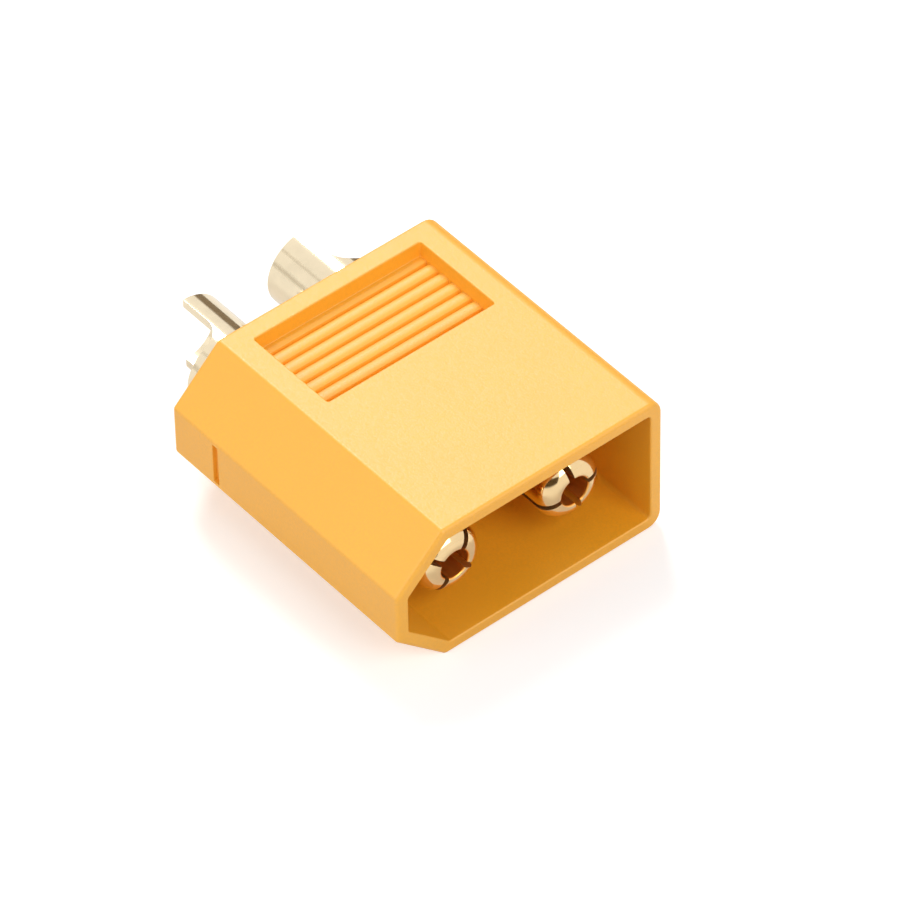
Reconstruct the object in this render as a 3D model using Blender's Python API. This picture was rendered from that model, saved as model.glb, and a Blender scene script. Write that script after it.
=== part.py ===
# Two-pole power connector, the shrouded half with two slotted bullet pins.
#
# A moulded housing carries two turned contacts side by side. At the front the
# housing is an open shroud round the pins. At the rear each contact ends in a
# solder cup that is cut open on its outer side. One end of the housing is
# square and the other is chamfered, so the mate goes in one way round only.
#
# X runs across the contacts, from the chamfered end to the square end.
# Y runs along the contacts, and the mouth faces -Y.
# Z is up, and the part lies on its flat underside.
# The origin is the bottom centre of the whole part.

import math

import bmesh
import bpy
from mathutils import Matrix, Vector

MM = 0.001

# Housing
HOUSING_WIDTH = 15.9 * MM
HOUSING_HEIGHT = 8.1 * MM
HOUSING_LENGTH = 16.4 * MM
CHAMFER_WIDTH = 2.8 * MM
CHAMFER_HEIGHT = 2.65 * MM
CORNER_RADIUS = 0.8 * MM
EDGE_RADIUS = 0.2 * MM

# Shroud round the pins
MOUTH_WALL = 0.7 * MM
MOUTH_DEPTH = 8.9 * MM
MOUTH_CORNER_RADIUS = 0.25 * MM

# Ribbed grip recess, one on the top and one on the underside
GRIP_DEPTH = 0.75 * MM
GRIP_MARGIN_REAR = 1.1 * MM
GRIP_MARGIN_FRONT = 0.95 * MM
GRIP_MARGIN_SQUARE_END = 1.8 * MM
GRIP_MARGIN_CHAMFER = 1.3 * MM
GRIP_DRAFT = 0.12 * MM
RIB_PITCH = 0.82 * MM
GROOVE_WIDTH = 0.36 * MM
GROOVE_FLOOR = 0.2 * MM
GROOVE_DEPTH = 0.25 * MM

# Upright notch in each narrow side
NOTCH_FROM_REAR = 3.16 * MM
NOTCH_WIDTH = 0.4 * MM
NOTCH_HEIGHT = 2.4 * MM
NOTCH_DEPTH = 0.25 * MM

# Contacts, alike but for the roll of their slots and the side their cup opens to
CONTACT_PITCH = 7.2 * MM
CONTACT_CLEARANCE = 0.1 * MM
PIN_DIAMETER = 3.5 * MM
PIN_HOLLOW_DIAMETER = 1.6 * MM
PIN_HOLLOW_DEPTH = 6.2 * MM
PIN_RECESS = 1.1 * MM
NOSE_RADIUS = 0.8 * MM
LIP_RADIUS = 0.1 * MM
SLOT_WIDTH = 0.3 * MM
SLOT_LENGTH = 5.6 * MM
CUP_DIAMETER = 4.4 * MM
CUP_WALL = 0.5 * MM
CUP_REACH = 4.65 * MM
CUP_DEPTH = 6.0 * MM
CUP_OPENING_LENGTH = 3.0 * MM
CUP_OPENING_RADIUS = 1.1 * MM
COLLAR_DIAMETER = 4.9 * MM
COLLAR_LENGTH = 1.0 * MM
COLLAR_BEHIND_SHOULDER = 1.2 * MM
WEB_THICKNESS = 1.5 * MM
DRILL_POINT_ANGLE = math.radians(118)

# Slot roll of each contact, as seen from the mouth
POSITIVE_SLOT_ROLL = math.radians(12)
NEGATIVE_SLOT_ROLL = math.radians(55)

# Facets
TURN_STEPS = 32
CORNER_STEPS = 6
NOSE_STEPS = 6
LIP_STEPS = 2
OVERSHOOT = 1.0 * MM

# Places worked out from the sizes above
OVERALL_LENGTH = HOUSING_LENGTH + CUP_REACH
FRONT_Y = -OVERALL_LENGTH / 2
REAR_Y = FRONT_Y + HOUSING_LENGTH
FLOOR_Y = FRONT_Y + MOUTH_DEPTH
BLOCK_LENGTH = HOUSING_LENGTH - MOUTH_DEPTH
AXIS_Z = HOUSING_HEIGHT / 2


def clear_scene():
    for obj in list(bpy.data.objects):
        bpy.data.objects.remove(obj, do_unlink=True)


def material(name, colour, roughness, metallic):
    made = bpy.data.materials.new(name)
    made.use_nodes = True
    shader = made.node_tree.nodes["Principled BSDF"]
    shader.inputs["Base Color"].default_value = (*colour, 1.0)
    shader.inputs["Roughness"].default_value = roughness
    shader.inputs["Metallic"].default_value = metallic
    return made


def object_from(bm, name):
    bmesh.ops.recalc_face_normals(bm, faces=bm.faces)
    mesh = bpy.data.meshes.new(name)
    bm.to_mesh(mesh)
    bm.free()
    obj = bpy.data.objects.new(name, mesh)
    bpy.context.scene.collection.objects.link(obj)
    return obj


def arc(centre, radius, start, end, steps):
    """Points on an arc about a 2D centre, both ends included."""
    points = []
    for step in range(steps + 1):
        angle = start + (end - start) * step / steps
        points.append((centre[0] + radius * math.cos(angle), centre[1] + radius * math.sin(angle)))
    return points


def extruded(name, outline, place, direction):
    """Solid of a closed 2D outline, drawn out along a direction.

    place turns an outline point into the 3D point where the extrusion starts.
    """
    bm = bmesh.new()
    face = bm.faces.new([bm.verts.new(place(point)) for point in outline])
    drawn = bmesh.ops.extrude_face_region(bm, geom=[face])
    moved = [item for item in drawn["geom"] if isinstance(item, bmesh.types.BMVert)]
    bmesh.ops.translate(bm, verts=moved, vec=direction)
    return object_from(bm, name)


def turned(name, profile):
    """Solid of revolution about local Z, from (radius, height) points that start and end on the axis."""
    bm = bmesh.new()
    line = [bm.verts.new((radius, 0.0, height)) for radius, height in profile]
    edges = [bm.edges.new(pair) for pair in zip(line, line[1:])]
    bmesh.ops.spin(bm, geom=line + edges, axis=(0, 0, 1), cent=(0, 0, 0), angle=math.tau,
                   steps=TURN_STEPS, use_merge=True)
    bmesh.ops.remove_doubles(bm, verts=bm.verts, dist=0.001 * MM)
    return object_from(bm, name)


def cut(target, cutter):
    """Take a cutter's shape out of a target, and keep the cutter as a hidden guide."""
    boolean = target.modifiers.new(cutter.name, "BOOLEAN")
    boolean.operation = "DIFFERENCE"
    boolean.solver = "EXACT"
    boolean.object = cutter
    cutter.display_type = "WIRE"
    cutter.hide_render = True


def shade(obj, angle):
    obj.data.shade_smooth()
    obj.data.set_sharp_from_angle(angle=angle)


def housing_outline(inset, corner_radius):
    """Section of the housing in X and Z, drawn inset from its outer surface."""
    left = -HOUSING_WIDTH / 2 + inset
    right = HOUSING_WIDTH / 2 - inset
    low = inset
    high = HOUSING_HEIGHT - inset
    slope = math.hypot(CHAMFER_WIDTH, CHAMFER_HEIGHT)
    chamfer_x = -HOUSING_WIDTH / 2 + CHAMFER_WIDTH + inset * (slope - CHAMFER_WIDTH) / CHAMFER_HEIGHT
    chamfer_z = CHAMFER_HEIGHT + inset * (slope - CHAMFER_HEIGHT) / CHAMFER_WIDTH
    lower_centre = (right - corner_radius, low + corner_radius)
    upper_centre = (right - corner_radius, high - corner_radius)
    points = [(chamfer_x, low)]
    points += arc(lower_centre, corner_radius, -math.pi / 2, 0.0, CORNER_STEPS)
    points += arc(upper_centre, corner_radius, 0.0, math.pi / 2, CORNER_STEPS)
    points += [(chamfer_x, high), (left, HOUSING_HEIGHT - chamfer_z), (left, chamfer_z)]
    return points


def along_y(name, outline, start, end):
    return extruded(name, outline, lambda p: (p[0], start, p[1]), (0, end - start, 0))


def along_x(name, outline, start, end):
    return extruded(name, outline, lambda p: (start, p[0], p[1]), (end - start, 0, 0))


def grip_profile():
    """Side view of the top recess in Y and Z: walls with draft, and a floor of ribs between grooves."""
    front = FLOOR_Y + GRIP_MARGIN_FRONT
    rear = REAR_Y - GRIP_MARGIN_REAR
    rib_z = HOUSING_HEIGHT - GRIP_DEPTH
    groove_z = rib_z - GROOVE_DEPTH
    flank = (GROOVE_WIDTH - GROOVE_FLOOR) / 2
    lean = GRIP_DRAFT / GRIP_DEPTH
    mouth_z = HOUSING_HEIGHT + OVERSHOOT
    points = [(rear + lean * OVERSHOOT, mouth_z), (front - lean * OVERSHOOT, mouth_z)]
    points.append((front + GRIP_DRAFT, rib_z))
    run = rear - front - 2 * GRIP_DRAFT
    groove_count = max(1, int(run / RIB_PITCH))
    for index in range(groove_count):
        middle = (front + rear) / 2 + (index - (groove_count - 1) / 2) * RIB_PITCH
        points.append((middle - GROOVE_WIDTH / 2, rib_z))
        points.append((middle - GROOVE_WIDTH / 2 + flank, groove_z))
        points.append((middle + GROOVE_WIDTH / 2 - flank, groove_z))
        points.append((middle + GROOVE_WIDTH / 2, rib_z))
    points.append((rear - GRIP_DRAFT, rib_z))
    return points


def grip_cutter(name, side):
    """Recess cutter for the top (side 1) or the underside (side -1)."""
    left = -HOUSING_WIDTH / 2 + CHAMFER_WIDTH + GRIP_MARGIN_CHAMFER
    right = HOUSING_WIDTH / 2 - GRIP_MARGIN_SQUARE_END
    outline = [(y, AXIS_Z + side * (z - AXIS_Z)) for y, z in grip_profile()]
    return along_x(name, outline, left, right)


def notch_cutter(name, side):
    """Upright notch cutter for the square end (side 1) or the chamfered end (side -1)."""
    middle = REAR_Y - NOTCH_FROM_REAR
    half_width = NOTCH_WIDTH / 2
    half_height = NOTCH_HEIGHT / 2
    outline = [(middle - half_width, AXIS_Z - half_height), (middle + half_width, AXIS_Z - half_height),
               (middle + half_width, AXIS_Z + half_height), (middle - half_width, AXIS_Z + half_height)]
    face_x = side * HOUSING_WIDTH / 2
    return along_x(name, outline, face_x - side * NOTCH_DEPTH, face_x + side * OVERSHOOT)


def contact_location(side):
    """Where a contact's axis meets the floor of the mouth."""
    return Vector((side * CONTACT_PITCH / 2, FLOOR_Y, AXIS_Z))


def stand_on_floor(obj, side):
    """Place a turned shape so that its local +Z points out of the mouth."""
    obj.location = contact_location(side)
    obj.rotation_euler = (math.pi / 2, 0.0, 0.0)


def passage_profile():
    """Profile of the stepped hole that holds a contact, with its clearance all round."""
    gap = CONTACT_CLEARANCE
    pin = PIN_DIAMETER / 2 + gap
    cup = CUP_DIAMETER / 2 + gap
    collar = COLLAR_DIAMETER / 2 + gap
    shoulder = -WEB_THICKNESS + gap
    collar_front = -WEB_THICKNESS - COLLAR_BEHIND_SHOULDER + gap
    collar_rear = collar_front - COLLAR_LENGTH - 2 * gap
    end = -BLOCK_LENGTH - OVERSHOOT
    return [(0.0, OVERSHOOT), (pin, OVERSHOOT), (pin, shoulder), (cup, shoulder), (cup, collar_front),
            (collar, collar_front), (collar, collar_rear), (cup, collar_rear), (cup, end), (0.0, end)]


def contact_profile():
    """Profile of a contact, from the bottom of its front hollow round to the bottom of its cup."""
    pin = PIN_DIAMETER / 2
    hollow = PIN_HOLLOW_DIAMETER / 2
    cup = CUP_DIAMETER / 2
    cup_bore = cup - CUP_WALL
    collar = COLLAR_DIAMETER / 2
    tip = MOUTH_DEPTH - PIN_RECESS
    rear = -BLOCK_LENGTH - CUP_REACH
    shoulder = -WEB_THICKNESS
    collar_front = shoulder - COLLAR_BEHIND_SHOULDER
    collar_rear = collar_front - COLLAR_LENGTH
    cone = 1 / math.tan(DRILL_POINT_ANGLE / 2)
    hollow_floor = tip - PIN_HOLLOW_DEPTH
    cup_floor = rear + CUP_DEPTH
    nose = min(NOSE_RADIUS, pin - hollow - LIP_RADIUS)
    points = [(0.0, hollow_floor - hollow * cone), (hollow, hollow_floor)]
    points += arc((hollow + LIP_RADIUS, tip - LIP_RADIUS), LIP_RADIUS, math.pi, math.pi / 2, LIP_STEPS)
    points += arc((pin - nose, tip - nose), nose, math.pi / 2, 0.0, NOSE_STEPS)
    points += [(pin, shoulder), (cup, shoulder), (cup, collar_front), (collar, collar_front),
               (collar, collar_rear), (cup, collar_rear), (cup, rear), (cup_bore, rear),
               (cup_bore, cup_floor), (0.0, cup_floor + cup_bore * cone)]
    return points


def slot_cutter(name, side, roll):
    """Flat blade that saws one slot across the pin, from its tip back."""
    tip = MOUTH_DEPTH - PIN_RECESS
    half_width = SLOT_WIDTH / 2
    reach = PIN_DIAMETER
    outline = [(-reach, -half_width), (reach, -half_width), (reach, half_width), (-reach, half_width)]
    blade = extruded(name, outline, lambda p: (p[0], p[1], tip - SLOT_LENGTH), (0, 0, SLOT_LENGTH + OVERSHOOT))
    blade.data.transform(Matrix.Rotation(roll, 4, "Z"))
    stand_on_floor(blade, side)
    return blade


def cup_opening_cutter(name, side):
    """Block that opens the outer half of the solder cup, with a rounded inner corner."""
    rear = -BLOCK_LENGTH - CUP_REACH
    front = rear + CUP_OPENING_LENGTH
    radius = CUP_OPENING_RADIUS
    reach = CUP_DIAMETER
    outline = [(0.0, rear - OVERSHOOT)]
    outline += arc((radius, front - radius), radius, math.pi, math.pi / 2, CORNER_STEPS)
    outline += [(reach, front), (reach, rear - OVERSHOOT)]
    outline = [(side * x, z) for x, z in outline]
    opening = extruded(name, outline, lambda p: (p[0], -reach, p[1]), (0, 2 * reach, 0))
    stand_on_floor(opening, side)
    return opening


def make_housing(nylon):
    outline = housing_outline(0.0, CORNER_RADIUS)
    housing = along_y("housing", outline, FRONT_Y, REAR_Y)
    housing.data.materials.append(nylon)
    rounding = housing.modifiers.new("moulded_edges", "BEVEL")
    rounding.width = EDGE_RADIUS
    rounding.segments = 2
    rounding.limit_method = "ANGLE"
    rounding.angle_limit = math.radians(30)
    rounding.use_clamp_overlap = True
    mouth_outline = housing_outline(MOUTH_WALL, MOUTH_CORNER_RADIUS)
    cut(housing, along_y("mouth_cutter", mouth_outline, FRONT_Y - OVERSHOOT, FLOOR_Y))
    for side, end in ((1, "top"), (-1, "underside")):
        cut(housing, grip_cutter("grip_cutter_" + end, side))
    for side, end in ((1, "square"), (-1, "chamfered")):
        cut(housing, notch_cutter("notch_cutter_" + end, side))
    for side, pole in ((1, "positive"), (-1, "negative")):
        passage = turned("passage_cutter_" + pole, passage_profile())
        stand_on_floor(passage, side)
        cut(housing, passage)
    shade(housing, math.radians(30))
    return housing


def make_contact(name, side, slot_roll, plating):
    contact = turned(name, contact_profile())
    contact.data.materials.append(plating)
    stand_on_floor(contact, side)
    for number, turn in enumerate((0.0, math.pi / 2), start=1):
        cut(contact, slot_cutter(f"{name}_slot_cutter_{number}", side, slot_roll + turn))
    cut(contact, cup_opening_cutter(f"{name}_opening_cutter", side))
    shade(contact, math.radians(35))
    return contact


def main():
    clear_scene()
    nylon = material("amber_nylon", (0.90, 0.46, 0.07), 0.55, 0.0)
    positive_plating = material("pale_gold_positive", (0.83, 0.67, 0.42), 0.25, 1.0)
    negative_plating = material("pale_gold_negative", (0.83, 0.67, 0.42), 0.25, 1.0)
    make_housing(nylon)
    make_contact("positive_contact", 1, POSITIVE_SLOT_ROLL, positive_plating)
    make_contact("negative_contact", -1, NEGATIVE_SLOT_ROLL, negative_plating)


main()
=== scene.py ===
import math

import bmesh
import bpy
from bpy.props import FloatProperty, FloatVectorProperty, IntProperty, PointerProperty
from mathutils import Matrix, Vector


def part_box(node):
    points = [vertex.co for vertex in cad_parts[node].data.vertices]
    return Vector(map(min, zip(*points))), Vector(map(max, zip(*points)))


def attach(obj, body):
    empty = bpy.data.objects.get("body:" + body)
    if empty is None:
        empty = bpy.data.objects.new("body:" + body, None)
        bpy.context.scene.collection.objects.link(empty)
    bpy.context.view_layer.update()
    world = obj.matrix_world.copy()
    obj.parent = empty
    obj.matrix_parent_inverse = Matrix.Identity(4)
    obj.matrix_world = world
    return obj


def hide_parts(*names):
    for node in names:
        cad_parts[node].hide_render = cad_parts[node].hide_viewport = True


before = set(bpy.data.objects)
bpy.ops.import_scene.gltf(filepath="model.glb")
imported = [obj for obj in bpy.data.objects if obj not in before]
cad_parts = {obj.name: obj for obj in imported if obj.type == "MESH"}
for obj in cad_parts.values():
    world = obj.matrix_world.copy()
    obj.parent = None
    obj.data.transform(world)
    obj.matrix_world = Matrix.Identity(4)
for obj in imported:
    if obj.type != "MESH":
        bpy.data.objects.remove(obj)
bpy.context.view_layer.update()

bl_info = {
    "name": "Two-pole power connector",
    "version": (1, 0, 0),
    "blender": (4, 5, 0),
    "location": "3D View > Sidebar > Connector",
    "description": "Builds the moulded housing, the turned contacts and the studio of a two-pole connector",
    "category": "Add Mesh",
}

# Sizes are in metres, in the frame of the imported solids: X across the contacts,
# Y along them with the mouth at -Y, and Z up from the underside.
MM = 0.001
HOUSING_LOW, HOUSING_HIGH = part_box("housing")
CUP_REAR_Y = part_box("positive_contact")[1].y
PIN_TIP_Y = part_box("positive_contact")[0].y
AXIS_Z = (HOUSING_LOW.z + HOUSING_HIGH.z) / 2
POSITIVE_SIDE = 1
NEGATIVE_SIDE = -1

# How the photograph was taken: the point that the camera aims at, where it stands round
# that point, and its lens
CAMERA_AIM = Vector((2.334, -1.858, 1.805)) * MM
CAMERA_TURN = math.radians(-38.9041)
CAMERA_HEIGHT = math.radians(45.2359)
CAMERA_ROLL = math.radians(-1.1938)
CAMERA_DISTANCE = 360.4 * MM
CAMERA_LENS_MM = 308.174
CAMERA_SENSOR_MM = 36.0
CAMERA_CLIP = (0.01, 100.0)


def length_property(name, millimetres, description):
    """A size in metres whose default is given in millimetres."""
    return FloatProperty(name=name, description=description, default=millimetres * MM,
                         unit="LENGTH", precision=5, min=0.0)


def angle_property(name, degrees, description):
    return FloatProperty(name=name, description=description, default=math.radians(degrees), unit="ROTATION")


def colour_property(name, default, description):
    return FloatVectorProperty(name=name, description=description, default=default,
                               subtype="COLOR", size=3, min=0.0, max=1.0)


def level_property(name, default, description, unit="NONE"):
    """A strength, or a power in watts."""
    return FloatProperty(name=name, description=description, default=default, unit=unit, min=0.0)


class HousingSettings(bpy.types.PropertyGroup):
    """Sizes and colour of the moulded housing."""
    chamfer_width: length_property("Chamfer width", 2.8, "Width of the chamfers, across the contacts")
    chamfer_height: length_property("Chamfer height", 2.65, "Height of the chamfers")
    square_corner: length_property("Square end corner", 0.8, "Corner radius of the square end")
    chamfer_corner: length_property("Chamfer corner", 0.3, "Rounding where a chamfer meets its neighbours")
    end_rounding: length_property("End rounding", 0.22, "Rounding of the outer edges at both ends")
    mouth_wall: length_property("Mouth wall", 0.7, "Thickness of the shroud round the pins")
    mouth_depth: length_property("Mouth depth", 8.9, "Depth of the mouth from the rim to its floor")
    mouth_corner: length_property("Mouth corner", 0.25, "Corner radius inside the mouth")
    rim_rounding: length_property("Rim rounding", 0.1, "Rounding of the inner edge of the rim")
    grip_left: length_property("Grip left", 4.1, "Distance of the grip recess from the chamfered end")
    grip_right: length_property("Grip right", 1.8, "Distance of the grip recess from the square end")
    grip_front: length_property("Grip front", 9.85, "Distance of the grip recess from the mouth")
    grip_rear: length_property("Grip rear", 1.1, "Distance of the grip recess from the rear face")
    grip_depth: length_property("Grip depth", 0.75, "Depth of the grip recess to the tops of its ribs")
    grip_rounding: length_property("Grip edge rounding", 0.07, "Rounding of the edge of the grip recess")
    rib_pitch: length_property("Rib pitch", 0.82, "Distance from one rib to the next")
    rib_rounding: length_property("Rib rounding", 0.05, "Fall of the ribs from their crests to the grooves")
    groove_width: length_property("Groove width", 0.26, "Width of the grooves between the ribs")
    groove_depth: length_property("Groove depth", 0.28, "Depth of the grooves under the crests of the ribs")
    groove_count: IntProperty(name="Grooves", description="Grooves in a grip recess", default=6, min=1)
    notch_rear: length_property("Notch rear", 3.16, "Distance of the notches from the rear face")
    notch_width: length_property("Notch width", 0.4, "Width of the notches in the narrow sides")
    notch_height: length_property("Notch height", 2.4, "Height of the notches in the narrow sides")
    notch_depth: length_property("Notch depth", 0.25, "Depth of the notches in the narrow sides")
    mark_size: length_property("Mark size", 1.1, "Length of the strokes of the polarity marks")
    mark_height: length_property("Mark height", 0.12, "How far the polarity marks stand out of the rear face")
    colour: colour_property("Nylon colour", (0.965, 0.440, 0.010), "Colour of the moulded nylon")


class ContactSettings(bpy.types.PropertyGroup):
    """Sizes and colour of the two turned contacts."""
    pitch: length_property("Pitch", 7.2, "Distance between the two contacts")
    pin_diameter: length_property("Pin diameter", 3.5, "Outer diameter of the pins")
    hollow_diameter: length_property("Hollow diameter", 1.6, "Diameter of the bore in the tip of a pin")
    hollow_depth: length_property("Hollow depth", 6.2, "Depth of the bore in the tip of a pin")
    nose_radius: length_property("Nose radius", 0.8, "Rounding of the tip of a pin")
    slot_width: length_property("Slot width", 0.3, "Width of the saw cuts across the tip of a pin")
    slot_length: length_property("Slot length", 5.6, "Length of the saw cuts from the tip back")
    cup_diameter: length_property("Cup diameter", 4.4, "Outer diameter of the solder cups")
    cup_wall: length_property("Cup wall", 0.5, "Wall thickness of the solder cups")
    cup_depth: length_property("Cup depth", 6.0, "Depth of the bore of a solder cup")
    opening_length: length_property("Opening length", 3.0, "Length of the side opening of a solder cup")
    opening_radius: length_property("Opening radius", 1.1, "Corner radius of the opening of a solder cup")
    positive_roll: angle_property("Positive roll", 12.0, "Turn of the positive pin's saw cuts about its axis")
    negative_roll: angle_property("Negative roll", 55.0, "Turn of the negative pin's saw cuts about its axis")
    slot_count: IntProperty(name="Slots", description="Saw cuts across the tip of a pin", default=2, min=1)
    steps: IntProperty(name="Steps round", description="Facets round a turned contact", default=144, min=24)
    colour: colour_property("Plating colour", (0.92, 0.78, 0.55), "Colour of the plating on the cups")
    # Painted shade: the pins, inside the mouth, take a darker and more orange colour than the cups, though
    # both are the same plating.
    pin_shade_colour: colour_property("Pin colour", (0.93, 0.68, 0.36), "Colour of the plating inside the mouth")
    # Painted shade: the bores of the pins take a darker, more orange colour than the plating.
    bore_shade_colour: colour_property("Bore colour", (0.92, 0.42, 0.07), "Colour of the bores in the pins")
    cut_colour: colour_property("Cut colour", (0.62, 0.42, 0.18), "Colour of the saw cuts in the pins")


class StudioSettings(bpy.types.PropertyGroup):
    """Sizes and strengths of the floor and the lights."""
    floor_size: length_property("Floor size", 1600.0, "Side of the square floor")
    floor_colour: colour_property("Floor colour", (0.78, 0.78, 0.78), "Colour of the floor under the object")
    floor_lift: level_property("Floor lift", 0.42, "White added to the floor where the camera sees it")
    mirror_lift: level_property("Mirror lift", 0.12, "White added to the floor where gloss reflects it")
    world_strength: level_property("Surrounding light", 0.32, "Strength of the light from all round")
    left_power: level_property("Left light", 3.2, "Power of the light beside the chamfered end", "POWER")
    front_power: level_property("Front light", 4.5, "Power of the light that shines into the mouth", "POWER")
    back_power: level_property("Back light", 5.6, "Power of the light behind the object", "POWER")


class ConnectorSettings(bpy.types.PropertyGroup):
    """All the settings of the connector and its studio."""
    housing: PointerProperty(type=HousingSettings)
    contact: PointerProperty(type=ContactSettings)
    studio: PointerProperty(type=StudioSettings)


def floor_y(housing):
    """Where the floor of the mouth lies, along Y."""
    return HOUSING_LOW.y + housing.mouth_depth


# Mesh making

def mesh_object(name, bm):
    bmesh.ops.recalc_face_normals(bm, faces=bm.faces)
    mesh = bpy.data.meshes.new(name)
    bm.to_mesh(mesh)
    bm.free()
    made = bpy.data.objects.new(name, mesh)
    bpy.context.scene.collection.objects.link(made)
    return made


def arc_angles(steps):
    """Angles of a quarter turn, both ends included."""
    return [math.pi / 2 * step / steps for step in range(steps + 1)]


def inset_polygon(corners, inset):
    """Corners of a polygon, given counter-clockwise, with each side moved inwards."""
    moved = []
    for index, corner in enumerate(corners):
        before = (corner - corners[index - 1]).normalized()
        after = (corners[(index + 1) % len(corners)] - corner).normalized()
        inward_before = Vector((-before.y, before.x))
        inward_after = Vector((-after.y, after.x))
        moved.append(corner + (inward_before + inward_after) * inset / (1 + inward_before.dot(inward_after)))
    return moved


def rounded_polygon(corners, radii, steps=6):
    """Outline of a convex polygon with each corner rounded by its own radius."""
    points = []
    for index, corner in enumerate(corners):
        before = (corners[index - 1] - corner).normalized()
        after = (corners[(index + 1) % len(corners)] - corner).normalized()
        half_angle = before.angle(after) / 2
        radius = radii[index]
        centre = corner + (before + after).normalized() * radius / math.sin(half_angle)
        start = corner + before * radius / math.tan(half_angle) - centre
        end = corner + after * radius / math.tan(half_angle) - centre
        turn = start.angle_signed(end)
        for step in range(steps + 1):
            points.append(centre + Matrix.Rotation(-turn * step / steps, 2) @ start)
    return points


def add_loft(bm, rings):
    """Closed solid through rings of points that have the same number of points."""
    rows = [[bm.verts.new(point) for point in points] for points in rings]
    for row, following in zip(rows, rows[1:]):
        for index in range(len(row)):
            after = (index + 1) % len(row)
            bm.faces.new((row[index], row[after], following[after], following[index]))
    bm.faces.new(rows[0])
    bm.faces.new(rows[-1])


def lofted(name, rings):
    bm = bmesh.new()
    add_loft(bm, rings)
    return mesh_object(name, bm)


def evaluated_mesh(source):
    """Plain mesh of an object with its modifiers applied."""
    source.update_tag()
    depsgraph = bpy.context.evaluated_depsgraph_get()
    return bpy.data.meshes.new_from_object(source.evaluated_get(depsgraph))


def discard(*objects):
    for item in objects:
        bpy.data.objects.remove(item, do_unlink=True)


def cut(target, cutter, overlapping=False):
    boolean = target.modifiers.new(cutter.name, "BOOLEAN")
    boolean.operation = "DIFFERENCE"
    boolean.solver = "EXACT"
    boolean.use_self = overlapping
    boolean.object = cutter


# Geometry Nodes

def new_tree(name, measures, counts):
    """Geometry Nodes tree with a mesh in, a mesh out and named inputs for its sizes."""
    tree = bpy.data.node_groups.new(name, "GeometryNodeTree")
    tree.interface.new_socket("Geometry", in_out="INPUT", socket_type="NodeSocketGeometry")
    tree.interface.new_socket("Geometry", in_out="OUTPUT", socket_type="NodeSocketGeometry")
    for label in measures:
        tree.interface.new_socket(label, in_out="INPUT", socket_type="NodeSocketFloat")
    for label in counts:
        tree.interface.new_socket(label, in_out="INPUT", socket_type="NodeSocketInt")
    tree.interface.new_socket("Material", in_out="INPUT", socket_type="NodeSocketMaterial")
    return tree, tree.nodes.new("NodeGroupInput"), tree.nodes.new("NodeGroupOutput")


def math_node(tree, operation, first, second=0.0):
    """Math node on one or two values, each a socket or a number."""
    node = tree.nodes.new("ShaderNodeMath")
    node.operation = operation
    for socket, value in zip(node.inputs, (first, second)):
        if isinstance(value, (int, float)):
            socket.default_value = value
        else:
            tree.links.new(value, socket)
    return node.outputs["Value"]


def close_tree(tree, geometry, inputs, outputs):
    """End a tree in real geometry with its material set."""
    realize = tree.nodes.new("GeometryNodeRealizeInstances")
    paint = tree.nodes.new("GeometryNodeSetMaterial")
    tree.links.new(geometry, realize.inputs["Geometry"])
    tree.links.new(realize.outputs["Geometry"], paint.inputs["Geometry"])
    tree.links.new(inputs.outputs["Material"], paint.inputs["Material"])
    tree.links.new(paint.outputs["Geometry"], outputs.inputs["Geometry"])


def groove_bank_tree():
    """Copies one groove at an even pitch along Y, centred on where it was drawn."""
    tree, inputs, outputs = new_tree("Groove bank", ["Pitch"], ["Count"])
    line = tree.nodes.new("GeometryNodeMeshLine")
    instance = tree.nodes.new("GeometryNodeInstanceOnPoints")
    start = tree.nodes.new("ShaderNodeCombineXYZ")
    step = tree.nodes.new("ShaderNodeCombineXYZ")
    gaps = math_node(tree, "SUBTRACT", inputs.outputs["Count"], 1)
    run = math_node(tree, "MULTIPLY", gaps, inputs.outputs["Pitch"])
    tree.links.new(math_node(tree, "MULTIPLY", run, -0.5), start.inputs["Y"])
    tree.links.new(inputs.outputs["Pitch"], step.inputs["Y"])
    tree.links.new(inputs.outputs["Count"], line.inputs["Count"])
    tree.links.new(start.outputs["Vector"], line.inputs["Start Location"])
    tree.links.new(step.outputs["Vector"], line.inputs["Offset"])
    tree.links.new(line.outputs["Mesh"], instance.inputs["Points"])
    tree.links.new(inputs.outputs["Geometry"], instance.inputs["Instance"])
    close_tree(tree, instance.outputs["Instances"], inputs, outputs)
    return tree


def slot_fan_tree():
    """Copies one saw blade evenly round the axis of a pin, over half a turn."""
    tree, inputs, outputs = new_tree("Slot fan", ["Roll"], ["Count"])
    line = tree.nodes.new("GeometryNodeMeshLine")
    instance = tree.nodes.new("GeometryNodeInstanceOnPoints")
    index = tree.nodes.new("GeometryNodeInputIndex")
    turn = tree.nodes.new("ShaderNodeCombineXYZ")
    step = math_node(tree, "DIVIDE", math.pi, inputs.outputs["Count"])
    fanned = math_node(tree, "MULTIPLY", index.outputs["Index"], step)
    angle = math_node(tree, "ADD", fanned, inputs.outputs["Roll"])
    line.inputs["Offset"].default_value = (0.0, 0.0, 0.0)
    tree.links.new(angle, turn.inputs["Z"])
    tree.links.new(inputs.outputs["Count"], line.inputs["Count"])
    tree.links.new(line.outputs["Mesh"], instance.inputs["Points"])
    tree.links.new(inputs.outputs["Geometry"], instance.inputs["Instance"])
    tree.links.new(turn.outputs["Vector"], instance.inputs["Rotation"])
    close_tree(tree, instance.outputs["Instances"], inputs, outputs)
    return tree


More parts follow.
